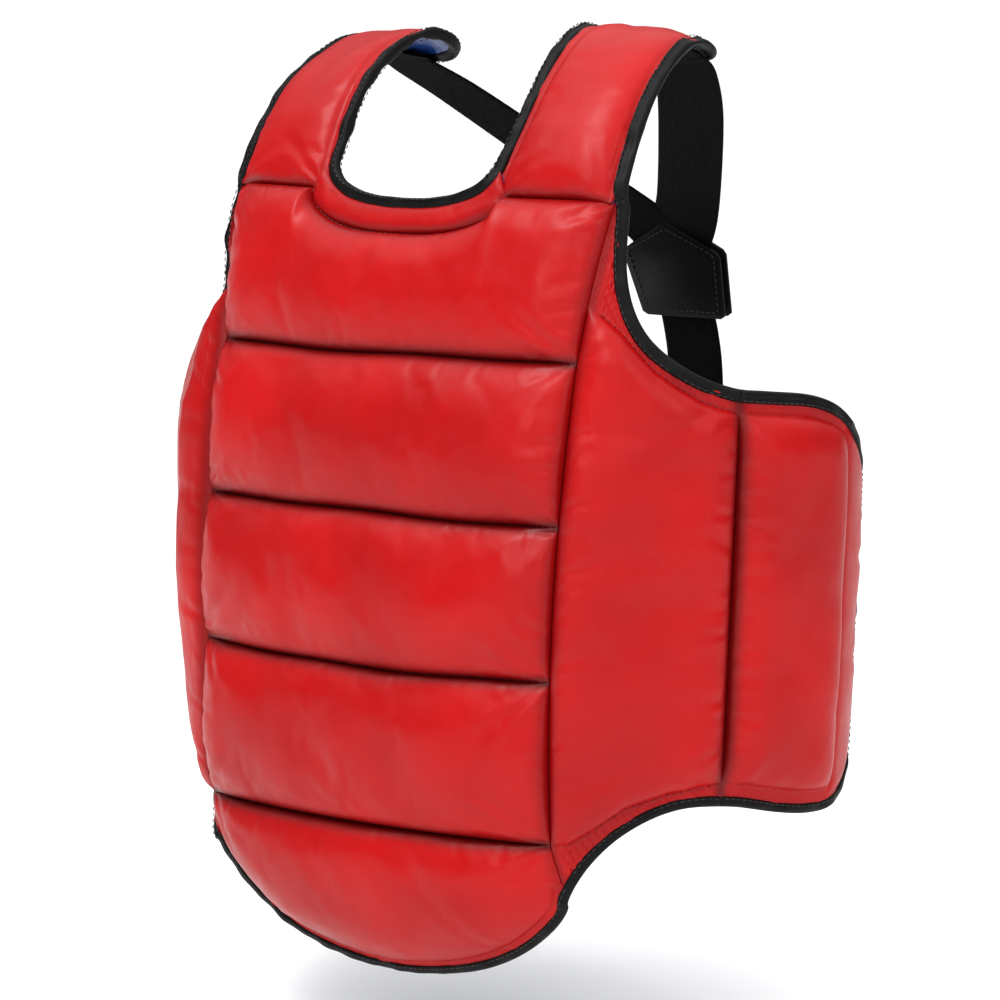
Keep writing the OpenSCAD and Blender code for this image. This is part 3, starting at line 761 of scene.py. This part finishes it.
def abdomen_pad():
    margin = 8.0
    outline = np.concatenate([[(-138, -479), (-139.4, -488), (-141, -498), (-141.5, -504)], MOON[1:-1],
                              [(145, -510), (142.6, -500), (139.6, -488), (138, -479)]])

    def away_from(ab, line):
        """Distance from each point to a line of points."""
        away = ab.reshape(-1, 1, 2) - even(line, 240)[None]
        return np.sqrt((away ** 2).sum(-1)).min(1).reshape(ab.shape[:2])

    def abdomen_mask(ab):
        rim = away_from(ab, outline[3:-3])
        x, z = ab[..., 0], ab[..., 1]
        beside = np.minimum(np.maximum(seam_x(z) - np.abs(x), 0), 60)
        inset = np.where(z > -500, np.minimum(rim, beside), rim)
        return swell(np.maximum(rim - margin, 0), 66) * swell(SEAMS[4] - z, 38) * swell(inset, 42)

    turn = int(len(outline) * 0.27)
    top = lambda t: np.array([HALF_W * (2 * t - 1), SEAMS[4]])
    ab = coons(polyline(outline[turn:-turn]), top, polyline(outline[:turn + 1][::-1]),
               polyline(outline[-turn - 1:]), 170, 70)
    pad("abdomen", front_surface, ab, (18, 7.5), (36, 36, 44, 34), ABDOMEN_BLEND, 21, puff=1.5,
        painted_seam_shade=(0.3, 0.3, 0.15, 1.0), mask=abdomen_mask)


# ---------------------------------------------------------------- wings
def line_height(line, s):
    return np.interp(s, line[:, 0], line[:, 1])


def wing_pads():
    for side, sign in SIDES:
        surface = WINGS[side]
        low_line, corner = (WIDE_LOW, -31) if sign > 0 else (WIDE_LOW_RIGHT, -26)

        def wing_left(t):
            h = corner + (385 - corner) * t
            return np.array([first_run(h), h])

        seam_s, end = WIDE_LEN + NARROW_LEN, WIDE_LEN + NARROW_LEN + FLAP_LEN
        ab = coons(polyline(np.concatenate([[wing_left(0.0)], low_line[low_line[:, 0] > 12]])),
                   polyline(np.concatenate([[wing_left(1.0)], WIDE_TOP])),
                   wing_left, lambda t: np.array([WIDE_LEN, 27 + 250 * t]), 96, 190)

        def wide_mask(ab):
            s, h = ab[..., 0], ab[..., 1]
            top, bottom = line_height(WIDE_TOP_SEAM, s), line_height(WIDE_LOW_SEAM, s)
            return (swell(np.maximum(s - first_run(h), 0), 26) * swell(WIDE_LEN - s, 26)
                    * swell(np.maximum(top - h, 0), 24) * swell(np.maximum(h - bottom, 0), 24))

        def wide_puckers(ab):
            s, h = ab[..., 0], ab[..., 1]
            low = np.clip((line_height(WIDE_LOW_SEAM, s) - h) / 5, 0, 1)
            high = np.clip((h - line_height(WIDE_TOP_SEAM, s)) / 5, 0, 1)
            wave = np.sin(s * 1.05 + h * 0.75 + 1.3 * np.sin(s / 9)) + 0.6 * np.sin(s * 1.9 - h * 0.3)
            return 0.75 * low * wave + 0.35 * high * wave

        pad(side + "_wide", surface, ab, (13.5, 7.5), (26, 26, 24, 24), wing_blend(side, sign), 31 + (sign < 0),
            puff=1.8, painted_seam_shade=(0.5, 0.8, 0.2, 0.2), mask=wide_mask, extra=wide_puckers)
        runs = np.concatenate([WIDE_LEN + NARROW_LEN * spaced(58), seam_s + FLAP_LEN * spaced(40)[1:]])
        heights = spaced(130, 0.45)
        lows, highs = line_height(SIDE_LOW, runs), line_height(SIDE_TOP, runs)
        ab = np.stack(np.broadcast_arrays(runs[None], lows + (highs - lows) * heights[:, None]), -1)

        def side_mask(ab):
            s, h = ab[..., 0], ab[..., 1]
            above, below = line_height(SIDE_TOP, s) - h, h - line_height(SIDE_LOW, s)
            narrow = (swell(s - WIDE_LEN, 24) * swell(np.maximum(seam_s - s, 0), 24)
                      * swell(np.maximum(above - 12.5, 0), 24) * swell(np.maximum(below - 12.5, 0), 24))
            flap = 0.16 * (swell(np.maximum(s - seam_s, 0), 8) * swell(np.maximum(end - 8 - s, 0), 8)
                           * swell(np.maximum(above - 8, 0), 8) * swell(np.maximum(below - 8, 0), 8))
            return narrow + flap

        pad(side + "_narrow", surface, ab, (12.5, 7.5), (24, 24, 24, 24), side_blend(side, sign), 41 + (sign < 0),
            puff=1.5, painted_seam_shade=(0.8, 0.2, 0.2, 0.2), mask=side_mask)


FLARE = np.array([(0, 13), (10, 13), (20, 11.5), (30, 9), (45, 6), (60, 3.5), (75, 1.5), (95, 0)], float)


def flare(s):
    """How much further the shoulder pad reaches towards the neck, low down."""
    return np.interp(s, FLARE[:, 0], FLARE[:, 1])


def shoulder_pads():
    for side, sign in SIDES:
        half, run, corner = SHOULDER_HALF, SHOULDER_RUN, 14.0
        grid = []
        for s in spaced(96) * run:
            cut = max(0.0, s - (run - corner))
            drop = corner - math.sqrt(max(0.0, corner ** 2 - cut ** 2))
            inner = -(half - drop) - float(flare(s))
            tuck = 6.0 * math.exp(-(s / 8) ** 2)
            outer = half - drop - tuck
            grid.append([(inner + (outer - inner) * t, s) for t in spaced(48)])
        ab = np.array(grid)

        def mask(ab):
            w, s = ab[..., 0], ab[..., 1]
            thin = 1 - 0.66 * np.clip((s - 45) / 85, 0, 1)
            inset = np.minimum(half - 8.5 - w, w + half + flare(s) - 6)
            return (swell(np.maximum(inset, 0), 22) * swell(s, 20)
                    * swell(np.maximum(run - 6 - s, 0), 22)) * thin

        pad(side + "_shoulder", SHOULDERS[side], ab, (10.5 if sign > 0 else 8.5, 5.5), (20, 20, 20, 20), "front",
            51 + (sign < 0), 0.8, puff=1.2, painted_seam_shade=(0.2, 0.2, 0.6, 0.2), mask=mask)


# ---------------------------------------------------------------- bound edges
TAPE_STEP, NECK_STEPS = 2.8, 220


def on_surface(surface, line):
    line = np.asarray(line, float)
    return surface(line[:, 0], line[:, 1])


def trim(slices, points, normals, inside, stretch, seed):
    """Binding folded over an edge: a rounded lip outside, two flat legs, stretched in width along the line."""
    pts, nrm = np.asarray(points, float), unit(np.asarray(normals, float))
    along = unit(np.gradient(pts, axis=0))
    inn = unit(np.cross(along, nrm) * inside)
    rng = np.random.default_rng(seed)
    width, thick, run = BINDING_W, BINDING_THICK, run_along(pts)
    ripple = sum(np.sin(run / w + rng.uniform(0, 6)) for w in (3.1, 5.3, 8.7)) * 0.14
    wander = sum(np.sin(run / w + rng.uniform(0, 6)) for w in (17, 29)) * 0.25
    section = [(width, 0.55), (width - 1.0, 0.98), (width * 0.55, 0.92), (1.6, 1.04), (-0.2, 0.95), (-1.3, 0.45),
               (-1.6, 0), (-1.3, -0.45), (-0.2, -0.95), (1.6, -1.04), (width * 0.55, -0.92), (width - 1.0, -0.98),
               (width, -0.55)]
    lift = 1.05 + 1.25 * (stretch - 1)
    rings = []
    for a, t in section:
        bow = 1 + ripple * (1 if abs(t) > 0.5 else 0.3)
        reach = a * (stretch if a > 0 else 1) + wander * (1 if a > 3 else 0.2)
        rings.append(pts + inn * reach[:, None] + nrm * (t * thick * bow * (lift if a > 3 else 1))[:, None])
    whole = np.stack(rings, 1)
    for name, first, last, body, node in slices:
        verts = whole[first:last + 1].reshape(-1, 3)
        obj = finish_mesh(name, verts, tube_faces(last - first, len(rings)), BLACK)
        turn_outward(obj)
        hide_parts(node)
        place(obj, body)
        for face, tag in ((1, "out"), (-1, "in")):
            proud = face * (thick * lift * 1.02 + 0.1)
            line = pts + inn * (width * stretch - 1.3 + wander)[:, None] + nrm * proud[:, None]
            stitches(f"{name}_stitches_{tag}", line[first:last + 1], (nrm * face)[first:last + 1], body,
                     THREAD)


def stitches(name, points, normals, body, material, pitch=4.4, length=3.0, radius=0.42):
    """A row of short thread stitches, each a closed spindle."""
    pts, nrm = np.asarray(points, float), unit(np.asarray(normals, float))
    run = run_along(pts)
    centre = np.arange(pitch / 2, run[-1], pitch)
    verts, faces = [], []
    at = lambda r: np.array([np.interp(r, run, pts[:, k]) for k in range(3)]).T
    mid, front, rear = at(centre), at(centre + length / 2), at(centre - length / 2)
    up = unit(np.array([np.interp(centre, run, nrm[:, k]) for k in range(3)]).T)
    way = unit(front - rear)
    across = unit(np.cross(way, up))
    sides = 5
    for k in range(len(centre)):
        faces += tube_faces(2, sides, len(verts))
        for p, r, lift in ((rear[k], 0.35, -0.25), (mid[k], 1.0, 0.15), (front[k], 0.35, -0.25)):
            for j in range(sides):
                a = 2 * math.pi * j / sides
                verts.append(p + up[k] * (radius * (math.sin(a) * r + lift)) + across[k] * (radius * math.cos(a) * r))
    obj = finish_mesh(name, verts, faces, material)
    turn_outward(obj)
    place(obj, body)


def side_rim(wing, shoulder, low_line):
    """One side's bound edge, from the shoulder tip to the abdomen, in named stretches."""
    half, run, corner = SHOULDER_HALF, SHOULDER_RUN, 12.0
    tip = [(0, run)] + [(half - corner + corner * math.sin(a), run - corner + corner * math.cos(a))
                        for a in np.linspace(0, math.pi / 2, 10)]
    tip += [(half, s) for s in np.linspace(run - corner - 4, 6, 40)]
    loop = np.concatenate([SIDE_TOP, [(240, h) for h in np.linspace(170, 110, 16)], SIDE_LOW[::-1]])
    return [("armhole_binding_tape", "armhole_binding", on_surface(shoulder, tip)),
            ("wide_top_tape", "wide_binding", on_surface(wing, WIDE_TOP)),
            ("end_tape", "end_binding", on_surface(wing, loop)),
            ("wide_bottom_tape", "wide_binding", on_surface(wing, low_line[::-1]))]


def edge_trims():
    stretches = [("left_" + tape, "left_" + node, "left", p, n)
                 for tape, node, (p, n) in side_rim(wing_surface, left_shoulder, WIDE_LOW)]
    stretches.append(("abdomen_binding_tape", "abdomen_binding", None, *on_surface(front_surface, MOON[::-1])))
    stretches += [("right_" + tape, "right_" + node, "right", p[::-1], n[::-1])
                  for tape, node, (p, n) in side_rim(right_wing, right_shoulder, WIDE_LOW_RIGHT)[::-1]]
    pts = np.concatenate([p for *_, p, _ in stretches])
    nrm = np.concatenate([n for *_, n in stretches])
    run = run_along(pts)
    count = int(run[-1] / TAPE_STEP)
    ends = np.cumsum([len(p) for *_, p, _ in stretches])[:-1]
    marks = [0] + [int(round((run[e - 1] + run[e]) / 2 / run[-1] * (count - 1))) for e in ends] + [count - 1]
    slices = []
    for (name, node, side, _, _), first, last in zip(stretches, marks[:-1], marks[1:]):
        sign = 1 if side == "left" else -1
        body = (ABDOMEN_BLEND if side is None else
                side_blend(side, sign) if node.endswith("end_binding") else wing_blend(side, sign))
        slices.append((name, first, last, body, node))
    line = smooth_rows(even(pts, count), 5)
    high = np.clip((line[:, 2] + 270) / 90, 0, 1)
    trim(slices, line, smooth_rows(even(nrm, count, pts), 10), 1, 1 + 0.38 * high, seed=61)
    # neck: inner edge of one shoulder, the neckline, inner edge of the other
    half, length, corner = SHOULDER_HALF, SHOULDER_RUN, 12.0
    inner = [(-half - float(flare(s)), s) for s in np.linspace(28, length - corner - 4, 32)]
    inner += [(-half + corner - corner * math.cos(a), length - corner + corner * math.sin(a))
              for a in np.linspace(0, math.pi / 2, 10)] + [(0, length)]
    pl, nl = on_surface(left_shoulder, inner)
    pr, nr = on_surface(right_shoulder, inner)
    pn, nn = on_surface(front_surface, NECK)
    pts, nrm = np.concatenate([pr[::-1], pn, pl]), np.concatenate([nr[::-1], nn, nl])
    trim([("neck_binding_tape", 0, NECK_STEPS - 1, "front", "neck_binding")], smooth_rows(even(pts, NECK_STEPS), 14),
         smooth_rows(even(nrm, NECK_STEPS, pts), 14), -1, np.full(NECK_STEPS, 1.25), seed=65)


def even(rows_in, count, along_points=None):
    """Rows resampled at equal steps along their own line, or along the line given."""
    along_points = rows_in if along_points is None else along_points
    run = run_along(along_points)
    at = np.linspace(0, run[-1], count)
    return np.array([np.interp(at, run, rows_in[:, k]) for k in range(rows_in.shape[1])]).T


def smooth_rows(points, times):
    p = np.array(points, float)
    for _ in range(times):
        p[1:-1] = (p[:-2] + 2 * p[1:-1] + p[2:]) / 4
    return p


# ---------------------------------------------------------------- harness
def ribbon(name, points, across, width, thick, body, node, material=WEB):
    """A flat strap along a line, with rounded edges and weave coordinates."""
    pts, wide = np.asarray(points, float), unit(np.asarray(across, float))
    along = unit(np.gradient(pts, axis=0))
    wide = unit(wide - along * np.sum(wide * along, -1, keepdims=True))
    up = np.cross(wide, along)
    run = run_along(pts)
    steps = np.linspace(-1, 1, 22)
    ribs = 0.12 * np.cos(np.arange(len(steps)) * math.pi)
    section = [(t * width / 2, thick / 2 * (1 - 0.55 * abs(t) ** 14) + r, t) for t, r in zip(steps, ribs)]
    section += [(t * width / 2, -thick / 2 * (1 - 0.55 * abs(t) ** 14) - r, t) for t, r in zip(steps[::-1], ribs)]
    m = len(section)
    verts = np.stack([pts + wide * w + up * h for w, h, _ in section], 1).reshape(-1, 3)
    obj = finish_mesh(name, verts, tube_faces(len(pts) - 1, m), material)
    turn_outward(obj)
    layer = obj.data.uv_layers.new(name="weave")
    index = np.empty(len(obj.data.loops), int)
    obj.data.loops.foreach_get("vertex_index", index)
    uv = np.stack([np.array([s[0] for s in section])[index % m] * MM, run[index // m] * MM], -1)
    layer.data.foreach_set("uv", uv.astype(np.float32).ravel())
    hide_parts(node)
    place(obj, body)


WEB_W, WEB_THICK = 45.0, 2
YOKE = np.array([0, 169.5, -154.5])
YOKE_LEAN = math.radians(20)
YOKE_BACK = np.array([0, math.cos(YOKE_LEAN), math.sin(YOKE_LEAN)])
YOKE_UP = np.array([0, -math.sin(YOKE_LEAN), math.cos(YOKE_LEAN)])


def on_yoke(x, up, back):
    """Points in the leaning frame of the yoke."""
    x, up, back = np.broadcast_arrays(np.asarray(x, float), up, back)
    return YOKE + np.stack([x, 0 * x, 0 * x], -1) + up[..., None] * YOKE_UP + back[..., None] * YOKE_BACK


def strap_line(sign):
    over = 0.9 * sign
    end = [tuple(on_yoke(x, up, over)) for x, up in ((8, 21), (6, 6), (5, -12))]
    drop = 0 if sign > 0 else 3.5
    knots = [(110, 17, -8 - drop), (111.5, 24, -11.6 - drop), (110.5, 33, -17.6 - drop), (95, 60, -39.5),
             (62, 103, -76), (28, 144, -112)] + end
    return smooth_line(np.array(knots, float) * [sign, 1, 1], 70)


def plate(name, outline, back, thick, node):
    """A leather patch in the leaning plane of the yoke, with a soft edge."""
    pts = np.asarray(outline, float)
    centre = pts.mean(0)
    rings = []
    for inset, depth in ((0.6, 0.0), (0.0, 0.5), (0.0, thick - 0.5), (0.7, thick), (4.5, thick - 0.35)):
        q = pts + unit(centre - pts) * inset
        bow = 0.9 * np.sin(q[:, 1] / 17 + 0.7) + 0.5 * np.sin(q[:, 0] / 13)
        rings.append(on_yoke(q[:, 0], q[:, 1], back + depth + 0.3 * bow))
    verts = np.concatenate(rings)
    obj = finish_mesh(name, verts, tube_faces(len(rings) - 1, len(pts)), PATCH)
    turn_outward(obj)
    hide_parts(node)
    place(obj, "harness")


def pentagon(inset):
    corners = [(0, 35 - 1.3 * inset), (41 - inset, 11.5), (34.5 - inset, -35 + inset),
               (-34.5 + inset, -35 + inset), (-41 + inset, 11.5)]
    line = []
    for k in range(5):
        a, b = np.array(corners[k]), np.array(corners[(k + 1) % 5])
        line += [a + (b - a) * t for t in np.linspace(0.05, 0.95, 12)]
    return np.array(line)


def harness():
    for side, sign in SIDES:
        line = strap_line(sign)
        across = np.array([np.interp(np.linspace(0, 1, len(line)), [0, 0.15, 0.5, 0.8, 1], c) for c in
                           ([0.99, 0.98, 0.93, 0.93, 0.96], [0.15, 0.2, 0.27, 0.12, 0.08],
                            [0, -0.06, -0.27, -0.32, -0.24])]).T * [sign, 1, 1]
        hung = ("front", "harness", (0, 0.024, -0.004), (0, 0.040, -0.022))
        ribbon(side + "_back_strap", line, across, WEB_W, WEB_THICK, hung, side + "_shoulder_strap")
    down = [tuple(on_yoke(0, -18, 0.0)), tuple(on_yoke(0, -36, 0.2)), (0, 185.8, -201), (0, 188.6, -214),
            (0, 190.4, -232), (0, 191.4, -258), (0, 191.7, -290), (0, 191.8, -330), (0, 191.8, -367)]
    ribbon("centre_back_strap", smooth_line(down, 60), [(1, 0, 0)] * 60, WEB_W, WEB_THICK, "harness", "centre_strap")
    plate("yoke_outer_patch", pentagon(0), 2.2, 2.0, "yoke_patch_outer")
    plate("yoke_inner_patch", pentagon(0.5), -4.2, 2.0, "yoke_patch_inner")
    for depth, back, tag in ((4.5, 4.3, "outer"), (5.0, -4.3, "inner")):
        edge = pentagon(depth)
        loop = np.concatenate([edge, edge[:1]])
        p = on_yoke(loop[:, 0], loop[:, 1], back)
        n = np.tile(YOKE_BACK * (1 if tag == "outer" else -1), (len(p), 1))
        stitches("yoke_stitches_" + tag, p, n, "harness", THREAD)
    radius, back = 230.4, 197.0
    turns = np.radians(np.linspace(-59.4, 59.4, 90))
    arc = np.stack([radius * np.sin(turns), back - radius + radius * np.cos(turns) - 1, np.full(90, -343.0)], -1)
    ribbon("waist_elastic", arc, [(0, 0, 1)] * 90, WEB_W, WEB_THICK, "harness", "waist_belt")
    for z in (-322, -364):
        p = np.stack([np.linspace(-21, 21, 20), np.full(20, 198.0), np.full(20, z)], -1)
        stitches(f"belt_join_{'top' if z > -340 else 'low'}", p, [(0, 1, 0)] * 20, "harness", THREAD)
    start = WIDE_LEN + NARROW_LEN
    for side, sign in SIDES:
        wing = WINGS[side]
        s = np.linspace(start + 8, start + FLAP_LEN - 9, 24)
        p, n = wing(s, np.full(24, 142.0))
        up = [tuple(WING_TURN[:, 2] * [sign, 1, 1])] * 24
        ribbon(side + "_loop_tape", p - n * 3.0, up, 48, 0.9, side + "_side", side + "_loop_patch", LOOP)
        s = np.linspace(start + 10, start + FLAP_LEN + 5, 26)
        p, n = wing(s, np.full(26, 142.0))
        ribbon(side + "_hook_tape", p - n * 4.9, up[:1] * 26, 44, 1.5, "harness", side + "_hook_tab", HOOK)


# ---------------------------------------------------------------- seams
def seam_rows():
    """Thread in the grooves between channels, on both faces."""
    for i in (1, 2, 3):
        z = SEAMS[i]
        x = np.linspace(-seam_x(z) + 2, seam_x(z) - 2, 160)
        zz = z + np.array([seam_wave(v, i - 1) for v in x])
        p, n = front_surface(x, zz)
        stitches(f"seam_{i}_stitches_out", p + n * (RIM + 0.1), n, "front", RED_THREAD)
        stitches(f"seam_{i}_stitches_in", p - n * (RIM + 0.1), -n, "front", THREAD)
    p, n = front_surface(COLLAR[:, 0], COLLAR[:, 1])
    stitches("collar_stitches_out", p + n * (RIM + 0.1), n, "front", PALE_THREAD)
    for side, sign in SIDES:
        wing, hinge = WINGS[side], wing_blend(side, sign)
        p, n = wing(np.full(120, WIDE_LEN + NARROW_LEN), np.linspace(32, 250, 120))
        stitches(side + "_flap_seam_stitches", p + n * (RIM + 0.1), n, side_blend(side, sign),
                 RED_THREAD)
        h = np.linspace(2, 380, 200)
        p, n = wing(first_run(h) + 3.2, h)
        proud = RIM + 0.9 + 2.2 * np.clip((318 - h) / 40, 0, 1)
        stitches(side + "_side_seam_stitches", p + n * proud[:, None], n, hinge, RED_THREAD)
        for tag, line, gap in (("top", WIDE_TOP_SEAM[1:], 1.2), ("bottom", WIDE_LOW_SEAM[1:], -1.2)):
            p, n = on_surface(wing, even(line + [0, gap], 90))
            stitches(f"{side}_margin_{tag}_stitches", p + n * (RIM + 0.7), n, hinge, RED_THREAD)


# ---------------------------------------------------------------- camera, light, ground
def look():
    azimuth, elevation, distance = math.radians(40), math.radians(7.19), 3.081
    forward = Vector((-math.sin(azimuth) * math.cos(elevation), math.cos(azimuth) * math.cos(elevation),
                      -math.sin(elevation)))
    target = Vector((0, -0.012, -0.292))
    cam = bpy.data.objects.new("camera", bpy.data.cameras.new("camera"))
    bpy.context.scene.collection.objects.link(cam)
    cam.data.lens, cam.data.sensor_width = 174.96, 36
    cam.data.clip_start, cam.data.clip_end = 0.05, 50
    cam.location = target - forward * distance
    cam.rotation_mode = "QUATERNION"
    cam.rotation_quaternion = forward.to_track_quat("-Z", "Y")
    bpy.context.scene.camera = cam


def lamp(name, position, target, size, power):
    data = bpy.data.lights.new(name, "AREA")
    data.shape, data.size, data.size_y = "RECTANGLE", size[0], size[1]
    data.energy = power
    obj = bpy.data.objects.new(name, data)
    bpy.context.scene.collection.objects.link(obj)
    obj.location = position
    obj.rotation_euler = (Vector(target) - Vector(position)).to_track_quat("-Z", "Y").to_euler()


def studio():
    bpy.context.scene.view_settings.view_transform = "Standard"
    world = bpy.data.worlds.new("studio")
    bpy.context.scene.world = world
    world.use_nodes = True
    nodes, links = world.node_tree.nodes, world.node_tree.links
    split = nodes.new("ShaderNodeSeparateXYZ")
    links.new(nodes.new("ShaderNodeTexCoord").outputs["Generated"], split.inputs["Vector"])
    sky = nodes.new("ShaderNodeValToRGB")
    links.new(remap(nodes, links, split.outputs["Z"], -1, 1, 0, 1), sky.inputs["Fac"])
    ramp = sky.color_ramp
    ramp.elements[0].position, ramp.elements[0].color = 0.49, (1, 1, 1, 1)
    ramp.elements[1].position, ramp.elements[1].color = 0.52, (0.12, 0.12, 0.13, 1)
    for position, value in ((0.70, 0.24), (0.85, 1.25), (1.0, 1.8)):
        ramp.elements.new(position).color = (value, value, value, 1)
    links.new(sky.outputs["Color"], nodes["Background"].inputs["Color"])
    nodes["Background"].inputs["Strength"].default_value = 1.1
    lamp("key", (-0.3, -1.5, 2.4), (0, -0.1, -0.3), (1.3, 1.0), 50)
    lamp("side", (2.4, -0.3, 0.8), (0.15, 0, -0.3), (0.25, 1.5), 11)
    lamp("front", (0.55, -2.4, 1.1), (0.05, -0.1, -0.3), (0.25, 1.6), 18)
    lamp("fill", (1.9, -1.9, 0.9), (0.1, -0.1, -0.3), (0.25, 1.5), 12)
    half, z = 60.0, -0.62
    mesh = bpy.data.meshes.new("floor")
    mesh.from_pydata([(-half, -half, z), (half, -half, z), (half, half, z), (-half, half, z)], [], [(0, 1, 2, 3)])
    floor = bpy.data.objects.new("floor", mesh)
    bpy.context.scene.collection.objects.link(floor)
    mat, nodes, links, shader = new_material("pale_floor")
    shader.inputs["Base Color"].default_value = (0.94, 0.94, 0.94, 1)
    shader.inputs["Roughness"].default_value = 0.8
    mesh.materials.append(mat)


front_pads()
abdomen_pad()
wing_pads()
shoulder_pads()
edge_trims()
harness()
seam_rows()
look()
studio()
